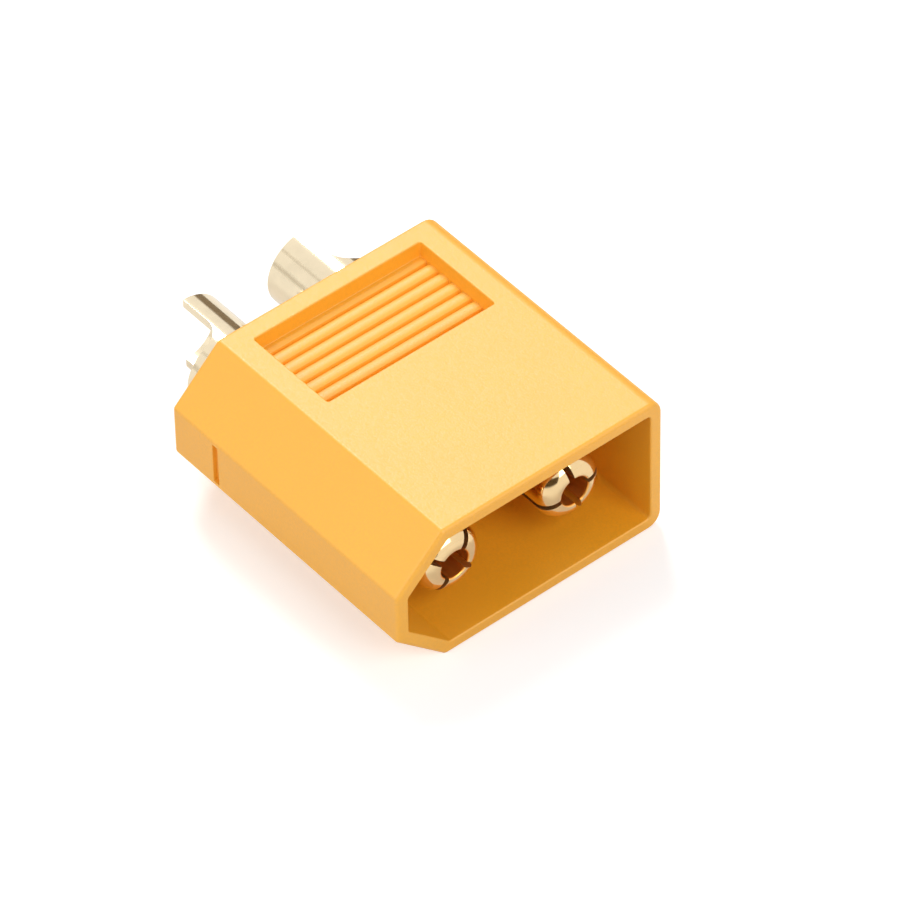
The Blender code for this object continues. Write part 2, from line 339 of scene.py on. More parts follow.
def lathe_tree():
    """Sweeps a profile round the Z axis. The profile is a line of points in X and Z, in order."""
    tree, inputs, outputs = new_tree("Lathe", ["Merge Distance"], ["Profile Points", "Steps"])
    grid = tree.nodes.new("GeometryNodeMeshGrid")
    index = tree.nodes.new("GeometryNodeInputIndex")
    position = tree.nodes.new("GeometryNodeInputPosition")
    sample = tree.nodes.new("GeometryNodeSampleIndex")
    sample.data_type = "FLOAT_VECTOR"
    split = tree.nodes.new("ShaderNodeSeparateXYZ")
    place = tree.nodes.new("ShaderNodeCombineXYZ")
    move = tree.nodes.new("GeometryNodeSetPosition")
    merge = tree.nodes.new("GeometryNodeMergeByDistance")
    across = math_node(tree, "ADD", inputs.outputs["Steps"], 1)
    # Half a point more keeps the division clear of whole numbers
    nudged = math_node(tree, "ADD", index.outputs["Index"], 0.5)
    row = math_node(tree, "FLOOR", math_node(tree, "DIVIDE", nudged, across))
    column = math_node(tree, "SUBTRACT", index.outputs["Index"], math_node(tree, "MULTIPLY", row, across))
    step = math_node(tree, "DIVIDE", math.tau, inputs.outputs["Steps"])
    angle = math_node(tree, "MULTIPLY", column, step)
    tree.links.new(inputs.outputs["Profile Points"], grid.inputs["Vertices X"])
    tree.links.new(across, grid.inputs["Vertices Y"])
    tree.links.new(inputs.outputs["Geometry"], sample.inputs["Geometry"])
    tree.links.new(position.outputs["Position"], sample.inputs["Value"])
    tree.links.new(row, sample.inputs["Index"])
    tree.links.new(sample.outputs["Value"], split.inputs["Vector"])
    for axis, ratio in (("X", "COSINE"), ("Y", "SINE")):
        reach = math_node(tree, "MULTIPLY", split.outputs["X"], math_node(tree, ratio, angle))
        tree.links.new(reach, place.inputs[axis])
    tree.links.new(split.outputs["Z"], place.inputs["Z"])
    tree.links.new(grid.outputs["Mesh"], move.inputs["Geometry"])
    tree.links.new(place.outputs["Vector"], move.inputs["Position"])
    tree.links.new(move.outputs["Geometry"], merge.inputs["Geometry"])
    tree.links.new(inputs.outputs["Merge Distance"], merge.inputs["Distance"])
    close_tree(tree, merge.outputs["Geometry"], inputs, outputs)
    return tree


def run_tree(source, tree, values, material):
    """Replace an object's mesh by what a tree makes of it."""
    modifier = source.modifiers.new(tree.name, "NODES")
    modifier.node_group = tree
    sockets = {item.name: item.identifier for item in tree.interface.items_tree if item.in_out == "INPUT"}
    for label, value in values.items():
        modifier[sockets[label]] = value
    modifier[sockets["Material"]] = material
    made = evaluated_mesh(source)
    source.modifiers.remove(modifier)
    source.data = made
    return source


# Materials

class Finish:
    """A node material under construction: adds nodes, links them and ends in one Principled shader."""

    def __init__(self, name):
        self.material = bpy.data.materials.new(name)
        self.material.use_nodes = True
        self.tree = self.material.node_tree
        self.shader = self.tree.nodes["Principled BSDF"]

    def put(self, socket, value):
        """Give an input socket a number, a colour or another node's output."""
        if isinstance(value, bpy.types.NodeSocket):
            self.tree.links.new(value, socket)
        else:
            socket.default_value = value

    def add(self, kind, inputs=None, **settings):
        node = self.tree.nodes.new(kind)
        for key, value in settings.items():
            setattr(node, key, value)
        for key, value in (inputs or {}).items():
            self.put(node.inputs[key], value)
        return node

    def math(self, operation, first, second=0.0, clamp=False):
        node = self.add("ShaderNodeMath", {0: first, 1: second}, operation=operation, use_clamp=clamp)
        return node.outputs["Value"]

    def object_coordinates(self):
        return self.add("ShaderNodeTexCoord").outputs["Object"]

    def stretched(self, vector, scale):
        return self.add("ShaderNodeMapping", {"Vector": vector, "Scale": scale}).outputs["Vector"]

    def noise(self, vector, feature_size, detail=2.0, roughness=0.5):
        """Noise whose features measure about feature_size metres."""
        inputs = {"Vector": vector, "Scale": 1 / feature_size, "Detail": detail, "Roughness": roughness}
        return self.add("ShaderNodeTexNoise", inputs).outputs["Fac"]

    def ranged(self, value, low_in, high_in, low_out, high_out):
        inputs = {"Value": value, "From Min": low_in, "From Max": high_in,
                  "To Min": low_out, "To Max": high_out}
        return self.add("ShaderNodeMapRange", inputs).outputs["Result"]

    def mixed(self, factor, first, second):
        """Blend of two colours."""
        node = self.add("ShaderNodeMix", data_type="RGBA")
        self.put(node.inputs["Factor"], factor)
        for key, value in (("A", first), ("B", second)):
            socket = [item for item in node.inputs if item.name == key and item.type == "RGBA"][0]
            self.put(socket, value if isinstance(value, bpy.types.NodeSocket) else (*value, 1.0))
        return [item for item in node.outputs if item.type == "RGBA"][0]

    def edge_mask(self, radius, low, high):
        """1 on edges and corners that stick out or in, 0 on flat faces."""
        rounded = self.add("ShaderNodeBevel", {"Radius": radius}, samples=6).outputs["Normal"]
        plain = self.add("ShaderNodeNewGeometry").outputs["Normal"]
        alike = self.add("ShaderNodeVectorMath", {0: rounded, 1: plain}, operation="DOT_PRODUCT")
        return self.ranged(self.math("SUBTRACT", 1.0, alike.outputs["Value"]), low, high, 0.0, 1.0)

    def bump(self, height, depth, strength=1.0):
        inputs = {"Height": height, "Distance": depth, "Strength": strength}
        return self.add("ShaderNodeBump", inputs).outputs["Normal"]

    def finish(self, **inputs):
        for key, value in inputs.items():
            self.put(self.shader.inputs[key.replace("_", " ")], value)
        return self.material


def scaled(colour, factor):
    return tuple(min(1.0, part * factor) for part in colour)


def nylon(colour):
    """Moulded nylon: a spark-eroded grain, faint flow clouds, slightly polished edges and a painted highlight
    that makes the edges lighter.
    """
    look = Finish("moulded_nylon")
    place = look.object_coordinates()
    grain = look.noise(place, 0.11 * MM, roughness=0.6)
    swell = look.noise(place, 0.55 * MM)
    clouds = look.noise(place, 4.0 * MM, detail=3.0)
    edges = look.edge_mask(0.12 * MM, 0.01, 0.25)
    base = look.mixed(look.ranged(clouds, 0.3, 0.7, 0.0, 1.0), scaled(colour, 0.97), scaled(colour, 1.03))
    speckled = look.mixed(look.ranged(grain, 0.35, 0.65, 0.0, 1.0), scaled(colour, 0.94), base)
    # Painted highlight: edges and corners are painted a lighter nylon colour; the same edge mask also lowers
    # the roughness as polish.
    highlight_colour = tuple(part + (1.0 - part) * 0.12 for part in colour)
    edge_highlighted = look.mixed(look.math("MULTIPLY", edges, 0.5), speckled, highlight_colour)
    height = look.math("ADD", grain, look.math("MULTIPLY", swell, 0.8))
    polish = look.math("MULTIPLY", edges, 0.08)
    rough = look.math("SUBTRACT", look.ranged(grain, 0.3, 0.7, 0.44, 0.54), polish)
    return look.finish(Base_Color=edge_highlighted, Roughness=rough, Normal=look.bump(height, 0.007 * MM),
                       IOR=1.55, Specular_IOR_Level=1.0)


def contact_masks(look, contact, housing):
    """Where a point of a contact lies: on a pin, in a pin's bore, in a saw cut, or in the bore of a cup."""
    mouth_floor = floor_y(housing)
    split = look.add("ShaderNodeSeparateXYZ", {"Vector": look.object_coordinates()})
    positive = look.math("GREATER_THAN", split.outputs["X"], 0.0)
    axis_x = look.ranged(positive, 0.0, 1.0, -contact.pitch / 2, contact.pitch / 2)
    across = look.math("SUBTRACT", split.outputs["X"], axis_x)
    upward = look.math("SUBTRACT", split.outputs["Z"], AXIS_Z)
    squares = look.math("ADD", look.math("MULTIPLY", across, across), look.math("MULTIPLY", upward, upward))
    radius = look.math("SQRT", squares)
    on_pin = look.ranged(split.outputs["Y"], mouth_floor, mouth_floor + 0.1 * MM, 1.0, 0.0)
    hollow = contact.hollow_diameter / 2
    near_axis = look.ranged(radius, hollow + 0.02 * MM, hollow + 0.1 * MM, 1.0, 0.0)
    roll = look.ranged(positive, 0.0, 1.0, contact.negative_roll, contact.positive_roll)
    sine, cosine = look.math("SINE", roll), look.math("COSINE", roll)
    first = look.math("MULTIPLY", upward, cosine), look.math("MULTIPLY", across, sine)
    second = look.math("MULTIPLY", across, cosine), look.math("MULTIPLY", upward, sine)
    from_first = look.math("ABSOLUTE", look.math("SUBTRACT", *first))
    from_second = look.math("ABSOLUTE", look.math("ADD", *second))
    nearest = look.math("MINIMUM", from_first, from_second)
    half_cut = contact.slot_width / 2
    near_cut = look.ranged(nearest, half_cut + 0.005 * MM, half_cut + 0.02 * MM, 1.0, 0.0)
    cup_bore = contact.cup_diameter / 2 - contact.cup_wall
    in_cup = look.ranged(radius, cup_bore + 0.01 * MM, cup_bore + 0.04 * MM, 1.0, 0.0)
    return (on_pin, look.math("MULTIPLY", near_axis, on_pin), look.math("MULTIPLY", near_cut, on_pin),
            look.math("SUBTRACT", in_cup, on_pin, clamp=True))


def plating(contact, housing):
    """Pale gold plating on turned brass: rings from the lathe, soft stains, duller bores and saw cuts,
    painted shade that makes the pins and their bores darker and more orange, and edges made lighter by wear
    and a painted highlight.
    """
    look = Finish("pale_gold_plating")
    place = look.object_coordinates()
    on_pin, bored, sawn, in_cup = contact_masks(look, contact, housing)
    rings = look.noise(look.stretched(place, (0.04, 1.0, 0.04)), 0.05 * MM, detail=3.0, roughness=0.6)
    stains = look.noise(place, 0.9 * MM, detail=4.0, roughness=0.55)
    # Edges and corners are painted a lighter plating colour: partly rubbed wear, partly a painted highlight.
    wear_and_highlight = look.edge_mask(0.06 * MM, 0.02, 0.3)
    # Painted shade: the same plating is painted darker and more orange on the pins, inside the mouth.
    plating_and_shade = look.mixed(on_pin, contact.colour, contact.pin_shade_colour)
    stain_and_shade = look.mixed(on_pin, scaled(contact.colour, 0.90), scaled(contact.pin_shade_colour, 0.90))
    toned = look.mixed(look.ranged(stains, 0.35, 0.75, 0.0, 1.0), plating_and_shade, stain_and_shade)
    edge_wear_and_highlight = look.mixed(look.math("MULTIPLY", wear_and_highlight, 0.35), toned, scaled(contact.colour, 1.05))
    # Painted shade: the bores of the pins are painted a darker orange; the saw cuts take their own brown
    # colour.
    cuts_and_bore_shade = look.mixed(bored, look.mixed(sawn, edge_wear_and_highlight, contact.cut_colour), contact.bore_shade_colour)
    dull = look.math("MULTIPLY", look.math("MAXIMUM", bored, sawn), 0.3)
    reamed = look.math("MULTIPLY", in_cup, 0.14)
    rough = look.math("ADD", look.ranged(stains, 0.3, 0.8, 0.09, 0.15), look.math("ADD", dull, reamed))
    return look.finish(Base_Color=cuts_and_bore_shade, Metallic=1.0, Roughness=rough,
                       Normal=look.bump(rings, 0.0015 * MM, 0.6))


def floor_white(studio):
    """Matt floor that keeps its shadows, lifted to white where it is seen directly, in gloss or in glass."""
    look = Finish("studio_floor")
    path = look.add("ShaderNodeLightPath")
    direct = look.math("MULTIPLY", path.outputs["Is Camera Ray"], studio.floor_lift)
    mirrored = look.math("MAXIMUM", path.outputs["Is Glossy Ray"], path.outputs["Is Transmission Ray"])
    lift = look.math("ADD", direct, look.math("MULTIPLY", mirrored, studio.mirror_lift))
    return look.finish(Base_Color=(*studio.floor_colour, 1.0), Roughness=1.0, Specular_IOR_Level=0.0,
                       Emission_Color=(1.0, 1.0, 1.0, 1.0), Emission_Strength=lift)


def studio_world(strength):
    """White surroundings at full strength where they are seen, and at a lower strength as light."""
    world = bpy.data.worlds.new("studio_world")
    world.use_nodes = True
    tree = world.node_tree
    background = tree.nodes["Background"]
    path = tree.nodes.new("ShaderNodeLightPath")
    level = tree.nodes.new("ShaderNodeMapRange")
    level.inputs["To Min"].default_value = 1.0
    level.inputs["To Max"].default_value = strength
    tree.links.new(path.outputs["Is Diffuse Ray"], level.inputs["Value"])
    tree.links.new(level.outputs["Result"], background.inputs["Strength"])
    background.inputs["Color"].default_value = (1.0, 1.0, 1.0, 1.0)
    bpy.context.scene.world = world


# Shapes of this connector

# How far a cutter reaches out of what it cuts, and the least radius of a rounded corner
OVERSHOOT = 0.4 * MM
SMALLEST_RADIUS = 0.03 * MM

# Corners, drafts and rounded feet of the pockets in the housing
MOUTH_FOOT = 0.15 * MM
GRIP_CORNER = 0.12 * MM
GRIP_DRAFT = 0.12 * MM
GRIP_FOOT = 0.03 * MM
NOTCH_CORNER = 0.06 * MM
NOTCH_EDGE = 0.05 * MM
NOTCH_DRAFT = 0.03 * MM
NOTCH_FOOT = 0.04 * MM

# The flat left on the crest of a rib, how far the groove cutter rises out of the recess's
# floor, and how far it sinks under that floor beside the crest
RIB_CREST = 0.03 * MM
GROOVE_RISE = 0.02 * MM
GROOVE_SINK = 0.002 * MM

# Steps on each side of the middle of a groove's section
SECTION_STEPS = 24

# Steps of a contact inside the housing, behind the floor of the mouth, and its small roundings
SHOULDER = 1.5 * MM
COLLAR_FRONT = 2.7 * MM
COLLAR_REAR = 3.7 * MM
COLLAR_RADIUS = 2.45 * MM
CONTACT_GAP = 0.1 * MM
BORE_LIP = 0.1 * MM
CUP_RIM = 0.05 * MM
DRILL_POINT = math.radians(118)

# Points of a turned piece that lie closer than this are merged
MERGE_DISTANCE = 0.0005 * MM

# Strokes of the polarity marks, their foot inside the housing, their edges and their place
MARK_STROKE = 0.28 * MM
MARK_SINK = 0.03 * MM
MARK_EDGE = 0.05 * MM
MARK_FROM_MIDDLE = 6.75 * MM


def housing_corners(housing):
    """Corners of the housing's section in X and Z, counter-clockwise from the lower chamfer."""
    chamfer_x = HOUSING_LOW.x + housing.chamfer_width
    low, high = HOUSING_LOW.z, HOUSING_HIGH.z
    return [Vector(corner) for corner in (
        (chamfer_x, low), (HOUSING_HIGH.x, low), (HOUSING_HIGH.x, high), (chamfer_x, high),
        (HOUSING_LOW.x, high - housing.chamfer_height), (HOUSING_LOW.x, low + housing.chamfer_height))]


def ring(corners, radii, inset, place):
    """One ring of a loft: the outline moved inwards, with its corners kept concentric."""
    shrunk = [max(radius - inset, SMALLEST_RADIUS) for radius in radii]
    return [place(point) for point in rounded_polygon(inset_polygon(corners, inset), shrunk)]


def pocket(name, corners, radii, depth, edge, draft, foot, place):
    """Cutter for a moulded pocket: rounded edge, walls with draft and a rounded foot.

    place turns an outline point and a depth into a 3D point.
    """
    steps = [(-edge, -OVERSHOOT)]
    for angle in arc_angles(4):
        steps.append((-edge + edge * math.sin(angle), edge - edge * math.cos(angle)))
    for angle in arc_angles(3):
        steps.append((draft + foot - foot * math.cos(angle), depth - foot + foot * math.sin(angle)))
    return lofted(name, [ring(corners, radii, inset, lambda point, level=level: place(point, level))
                         for inset, level in steps])


def housing_body(housing):
    """The housing without its pockets, rounded at the mouth and at the rear."""
    corners = housing_corners(housing)
    radii = [housing.chamfer_corner, housing.square_corner, housing.square_corner,
             housing.chamfer_corner, housing.chamfer_corner, housing.chamfer_corner]
    rounding = housing.end_rounding
    levels = [(rounding - rounding * math.sin(angle), rounding - rounding * math.cos(angle))
              for angle in arc_angles(5)]
    rings = [ring(corners, radii, inset, lambda p, y=HOUSING_LOW.y + back: Vector((p.x, y, p.y)))
             for inset, back in levels]
    rings += [ring(corners, radii, inset, lambda p, y=HOUSING_HIGH.y - back: Vector((p.x, y, p.y)))
              for inset, back in reversed(levels)]
    return lofted("housing_body", rings)


def mouth_cutter(housing):
    corners = inset_polygon(housing_corners(housing), housing.mouth_wall)
    return pocket("mouth_cutter", corners, [housing.mouth_corner] * 6, housing.mouth_depth,
                  housing.rim_rounding, 0.0, MOUTH_FOOT,
                  lambda p, level: Vector((p.x, HOUSING_LOW.y + level, p.y)))


def grip_corners(housing):
    """Corners of the grip recess in X and Y."""
    left, right = HOUSING_LOW.x + housing.grip_left, HOUSING_HIGH.x - housing.grip_right
    front, rear = HOUSING_LOW.y + housing.grip_front, HOUSING_HIGH.y - housing.grip_rear
    return [Vector(corner) for corner in ((left, front), (right, front), (right, rear), (left, rear))]


def surface_place(side):
    """Places a point at a depth under the top (side 1) or under the underside (side -1)."""
    surface = HOUSING_HIGH.z if side > 0 else HOUSING_LOW.z
    return lambda point, level: Vector((point.x, point.y, surface - side * level))


def grip_cutter(housing, side):
    return pocket("grip_cutter", grip_corners(housing), [GRIP_CORNER] * 4, housing.grip_depth,
                  housing.grip_rounding, GRIP_DRAFT, GRIP_FOOT, surface_place(side))


def rib_section(housing):
    """Section from the crest of one rib to the next: distances from the middle between them, and depths."""
    reach, half = (housing.rib_pitch - RIB_CREST) / 2, housing.groove_width / 2
    drop = housing.groove_depth - housing.rib_rounding
    points = []
    for step in range(-SECTION_STEPS, SECTION_STEPS + 1):
        offset = reach * step / SECTION_STEPS
        depth = housing.rib_rounding * min(1.0, (reach - abs(offset)) / (reach - half)) ** 2
        if abs(offset) < half:
            depth += drop * (1 + math.cos(math.pi * offset / half)) / 2
        points.append((offset, depth))
    return points


def groove_cutters(housing, side, tree, material):
    """Bank of grooves in the floor of one grip recess, with round-shouldered ribs between them."""
    corners = grip_corners(housing)
    low, high = corners[0], corners[2]
    middle = (low.y + high.y) / 2
    profile = rib_section(housing)
    section = [(middle + profile[-1][0], -GROOVE_RISE), (middle + profile[0][0], -GROOVE_RISE)]
    section += [(middle + offset, depth + GROOVE_SINK) for offset, depth in profile]
    place = surface_place(side)
    groove = lofted("grooves", [[place(Vector((x, y)), housing.grip_depth + level) for y, level in section]
                                for x in (low.x + GRIP_DRAFT, high.x - GRIP_DRAFT)])
    return run_tree(groove, tree, {"Pitch": housing.rib_pitch, "Count": housing.groove_count}, material)


def notch_cutter(housing, side):
    """Upright notch in a narrow side, near the rear."""
    middle = HOUSING_HIGH.y - housing.notch_rear
    across, upward = housing.notch_width / 2, housing.notch_height / 2
    corners = [Vector(corner) for corner in (
        (middle - across, AXIS_Z - upward), (middle + across, AXIS_Z - upward),
        (middle + across, AXIS_Z + upward), (middle - across, AXIS_Z + upward))]
    surface = HOUSING_HIGH.x if side > 0 else HOUSING_LOW.x
    return pocket("notch_cutter", corners, [NOTCH_CORNER] * 4, housing.notch_depth, NOTCH_EDGE,
                  NOTCH_DRAFT, NOTCH_FOOT, lambda p, level: Vector((surface - side * level, p.x, p.y)))


def stand_in_mouth(contact, side, housing):
    """Turns a shape drawn along Z so that its +Z points out of the mouth, on a contact's axis."""
    place = Matrix.Translation((side * contact.pitch / 2, floor_y(housing), AXIS_Z))
    return place @ Matrix.Rotation(math.pi / 2, 4, "X")


def profile_object(name, profile):
    """Line of points in X and Z for the lathe, from one end on the axis to the other."""
    mesh = bpy.data.meshes.new(name)
    points = [(radius, 0.0, height) for radius, height in profile]
    mesh.from_pydata(points, [(index, index + 1) for index in range(len(points) - 1)], [])
    made = bpy.data.objects.new(name, mesh)
    bpy.context.scene.collection.objects.link(made)
    return made


def lathed(name, profile, steps, tree, material):
    """Closed solid turned from a profile."""
    source = profile_object(name, profile)
    values = {"Merge Distance": MERGE_DISTANCE, "Profile Points": len(profile), "Steps": steps}
    run_tree(source, tree, values, material)
    bm = bmesh.new()
    bm.from_mesh(source.data)
    discard(source)
    return mesh_object(name, bm)


def contact_profile(contact, housing):
    """Half section of a contact, from the bottom of the bore in its tip to the bottom of its cup."""
    pin, hollow = contact.pin_diameter / 2, contact.hollow_diameter / 2
    cup = contact.cup_diameter / 2
    bore = cup - contact.cup_wall
    tip = floor_y(housing) - PIN_TIP_Y
    rear = floor_y(housing) - CUP_REAR_Y
    cone = 1 / math.tan(DRILL_POINT / 2)
    lip, rim = BORE_LIP, CUP_RIM
    nose = min(contact.nose_radius, pin - hollow - lip)
    hollow_floor = tip - contact.hollow_depth
    cup_floor = rear + contact.cup_depth
    points = [(0.0, hollow_floor - hollow * cone), (hollow, hollow_floor)]
    points += [(hollow + lip - lip * math.cos(a), tip - lip + lip * math.sin(a)) for a in arc_angles(4)]
    points += [(pin - nose + nose * math.sin(a), tip - nose + nose * math.cos(a)) for a in arc_angles(12)]
    points += [(pin, -SHOULDER), (cup, -SHOULDER), (cup, -COLLAR_FRONT), (COLLAR_RADIUS, -COLLAR_FRONT),
               (COLLAR_RADIUS, -COLLAR_REAR), (cup, -COLLAR_REAR)]
    points += [(cup - rim + rim * math.cos(a), rear + rim - rim * math.sin(a)) for a in arc_angles(3)]
    points += [(bore + rim - rim * math.sin(a), rear + rim - rim * math.cos(a)) for a in arc_angles(3)]
    points += [(bore, cup_floor), (0.0, cup_floor + bore * cone)]
    return points


def passage_profile(contact, housing):
    """Half section of the stepped hole in the housing that holds a contact."""
    pin, cup = contact.pin_diameter / 2 + CONTACT_GAP, contact.cup_diameter / 2 + CONTACT_GAP
    collar = COLLAR_RADIUS + CONTACT_GAP
    shoulder, front, back = CONTACT_GAP - SHOULDER, CONTACT_GAP - COLLAR_FRONT, -COLLAR_REAR - CONTACT_GAP
    end = floor_y(housing) - HOUSING_HIGH.y - OVERSHOOT
    return [(0.0, OVERSHOOT), (pin, OVERSHOOT), (pin, shoulder), (cup, shoulder), (cup, front),
            (collar, front), (collar, back), (cup, back), (cup, end), (0.0, end)]


def slot_blades(contact, housing, roll, tree, material):
    """Saw blades that cut the tip of a pin into springy petals."""
    tip = floor_y(housing) - PIN_TIP_Y
    half, reach = contact.slot_width / 2, contact.pin_diameter
    outline = ((-reach, -half), (reach, -half), (reach, half), (-reach, half))
    blade = lofted("slot_blades", [[Vector((x, y, level)) for x, y in outline]
                                   for level in (tip - contact.slot_length, tip + OVERSHOOT)])
    return run_tree(blade, tree, {"Roll": roll, "Count": contact.slot_count}, material)


def cup_opening(contact, housing, side):
    """Block that opens the outer half of a solder cup, with a rounded inner corner."""
    rear = floor_y(housing) - CUP_REAR_Y
    front = rear + contact.opening_length
    radius, reach = contact.opening_radius, contact.cup_diameter
    outline = [(0.0, rear - OVERSHOOT)]
    outline += [(radius - radius * math.cos(a), front - radius + radius * math.sin(a))
                for a in arc_angles(16)]
    outline += [(reach, front), (reach, rear - OVERSHOOT)]
    return lofted("cup_opening", [[Vector((side * x, y, z)) for x, z in outline] for y in (-reach, reach)])


# Operators

def settings():
    return bpy.context.scene.connector


def shared_material(name):
    """The material a piece takes, made the first time it is asked for."""
    made = bpy.data.materials.get(name)
    if made is None and name == "moulded_nylon":
        made = nylon(settings().housing.colour)
    if made is None and name == "pale_gold_plating":
        made = plating(settings().contact, settings().housing)
    return made


SMOOTH_ANGLE = math.radians(32)
NYLON_WELD = 0.002 * MM
METAL_WELD = 0.005 * MM
EDGE_BREAK = 0.02 * MM
ENLARGEMENT = 10000.0


def trimmed_mesh(source, weld, edge_break):
    """Plain mesh of a source with its slivers welded and, where asked, its sharp edges broken."""
    mesh = evaluated_mesh(source)
    bm = bmesh.new()
    bm.from_mesh(mesh)
    bmesh.ops.remove_doubles(bm, verts=bm.verts, dist=weld)
    bmesh.ops.dissolve_degenerate(bm, dist=weld / 4, edges=bm.edges)
    bm.normal_update()
    if edge_break:
        sharp = [edge for edge in bm.edges if edge.calc_face_angle(0.0) > SMOOTH_ANGLE]
        bmesh.ops.bevel(bm, geom=sharp, offset=edge_break, offset_type="OFFSET", segments=3,
                        profile=0.5, affect="EDGES", clamp_overlap=False)
    bm.to_mesh(mesh)
    bm.free()
    return mesh


def smooth_piece(name, source, material, weld, edge_break=0.0):
    """Finished piece of a source with its modifiers applied and its normals weighted by face size.

    The weighting takes small faces for equal ones, so it is done on an enlarged mesh.
    """
    made = bpy.data.objects.new(name, trimmed_mesh(source, weld, edge_break))
    bpy.context.scene.collection.objects.link(made)
    made.data.transform(Matrix.Scale(ENLARGEMENT, 4))
    made.data.shade_smooth()
    made.data.set_sharp_from_angle(angle=SMOOTH_ANGLE)
    weighted = made.modifiers.new("weighted_normals", "WEIGHTED_NORMAL")
    weighted.keep_sharp = True
    made.data = evaluated_mesh(made)
    made.modifiers.clear()
    made.data.transform(Matrix.Scale(1 / ENLARGEMENT, 4))
    made.data.name = name
    made.data.materials.clear()
    made.data.materials.append(material)
    return made


class CONNECTOR_OT_housing(bpy.types.Operator):
    """Mould the housing with its mouth, grip recesses, notches and contact passages"""
    bl_idname = "connector.housing"
    bl_label = "Mould housing"

    def execute(self, context):
        housing, contact = settings().housing, settings().contact
        finish = shared_material("moulded_nylon")
        grooves, lathe = groove_bank_tree(), lathe_tree()
        body = housing_body(housing)
        cutters = [mouth_cutter(housing)]
        for side in (POSITIVE_SIDE, NEGATIVE_SIDE):
            passage = lathed("passage", passage_profile(contact, housing), contact.steps, lathe, finish)
            passage.data.transform(stand_in_mouth(contact, side, housing))
            cutters += [grip_cutter(housing, side), groove_cutters(housing, side, grooves, finish),
                        notch_cutter(housing, side), passage]
        for cutter in cutters:
            cut(body, cutter)
        piece = smooth_piece("dressed_housing", body, finish, NYLON_WELD)
        discard(body, *cutters)
        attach(piece, "root")
        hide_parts("housing")
        return {"FINISHED"}


class CONNECTOR_OT_contacts(bpy.types.Operator):
    """Turn both contacts, saw their tips into petals and open their solder cups"""
    bl_idname = "connector.contacts"
    bl_label = "Turn contacts"

    def execute(self, context):
        housing, contact = settings().housing, settings().contact
        finish = shared_material("pale_gold_plating")
        lathe, fan = lathe_tree(), slot_fan_tree()
        for pole, side, roll in (("positive", POSITIVE_SIDE, contact.positive_roll),
                                 ("negative", NEGATIVE_SIDE, contact.negative_roll)):
            blank = lathed("contact_blank", contact_profile(contact, housing), contact.steps, lathe, finish)
            blades = slot_blades(contact, housing, roll, fan, finish)
            opening = cup_opening(contact, housing, side)
            cut(blank, blades, overlapping=True)
            cut(blank, opening)
            piece = smooth_piece(f"dressed_{pole}_contact", blank, finish, METAL_WELD, EDGE_BREAK)
            piece.data.transform(stand_in_mouth(contact, side, housing))
            discard(blank, blades, opening)
            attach(piece, "root")
            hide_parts(f"{pole}_contact")
        return {"FINISHED"}


class CONNECTOR_OT_marks(bpy.types.Operator):
    """Raise a plus and a minus on the rear face, outside the solder cups"""
    bl_idname = "connector.marks"
    bl_label = "Raise polarity marks"

    def execute(self, context):
        housing = settings().housing
        size, stroke, height = housing.mark_size / 2, MARK_STROKE / 2, housing.mark_height
        levels = [(0.0, -MARK_SINK), (0.0, height - MARK_EDGE), (MARK_EDGE, height)]
        plus = [(stroke, size), (-stroke, size), (-stroke, stroke), (-size, stroke), (-size, -stroke),
                (-stroke, -stroke), (-stroke, -size), (stroke, -size), (stroke, -stroke), (size, -stroke),
                (size, stroke), (stroke, stroke)]
        minus = [(size, stroke), (-size, stroke), (-size, -stroke), (size, -stroke)]
        bm = bmesh.new()
        for side, outline in ((POSITIVE_SIDE, plus), (NEGATIVE_SIDE, minus)):
            centre = Vector((side * MARK_FROM_MIDDLE, AXIS_Z))
            corners = [centre + Vector(corner) for corner in outline]
            add_loft(bm, [[Vector((p.x, HOUSING_HIGH.y + level, p.y)) for p in inset_polygon(corners, inset)]
                          for inset, level in levels])
        source = mesh_object("marks", bm)
        piece = smooth_piece("polarity_marks", source, shared_material("moulded_nylon"), NYLON_WELD)
        discard(source)
        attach(piece, "root")
        return {"FINISHED"}


# Studio

CARD_DISTANCE = 0.5

# The matt cards: name, colour, bearing from +Y towards +X in degrees, and in metres their
# width, the heights of both edges, and the height over which each edge thins out
CARDS = (
    ("front_card", (0.11, 0.08, 0.045), -127, 0.75, 0.03, 0.40, 0.07),
    ("right_card", (0.29, 0.23, 0.165), 54, 0.42, -0.02, 0.20, 0.02),
    ("low_left_card", (0.70, 0.68, 0.64), -57, 0.42, 0.01, 0.15, 0.07),
    ("high_left_card", (0.74, 0.72, 0.68), -43, 0.42, 0.37, 0.47, 0.05),
)


def studio_floor(size):
    """Square floor that the object stands on."""
    half = size / 2
    bm = bmesh.new()
    bm.faces.new([bm.verts.new((x * half, y * half, HOUSING_LOW.z))
                  for x, y in ((-1, -1), (1, -1), (1, 1), (-1, 1))])
    return mesh_object("studio_floor", bm)


def softbox(name, direction, width, height, power):
    """Soft light that faces the object from a metre away."""
    data = bpy.data.lights.new(name, "AREA")
    data.shape = "RECTANGLE"
    data.size = width
    data.size_y = height
    data.energy = power
    made = bpy.data.objects.new(name, data)
    bpy.context.scene.collection.objects.link(made)
    aim = Vector(direction).normalized()
    made.location = aim
    made.rotation_euler = aim.to_track_quat("Z", "Y").to_euler()
    made.visible_camera = False


def matt_card(name, colour, low, high, fade):
    """Matt card that thins out towards its lower and its upper edge."""
    look = Finish(name)
    height = look.add("ShaderNodeSeparateXYZ", {"Vector": look.object_coordinates()}).outputs["Z"]
    below = look.ranged(height, low, low + fade, 0.0, 1.0)
    above = look.ranged(height, high - fade, high, 1.0, 0.0)
    return look.finish(Base_Color=(*colour, 1.0), Roughness=1.0, Specular_IOR_Level=0.0,
                       Alpha=look.math("MULTIPLY", below, above))


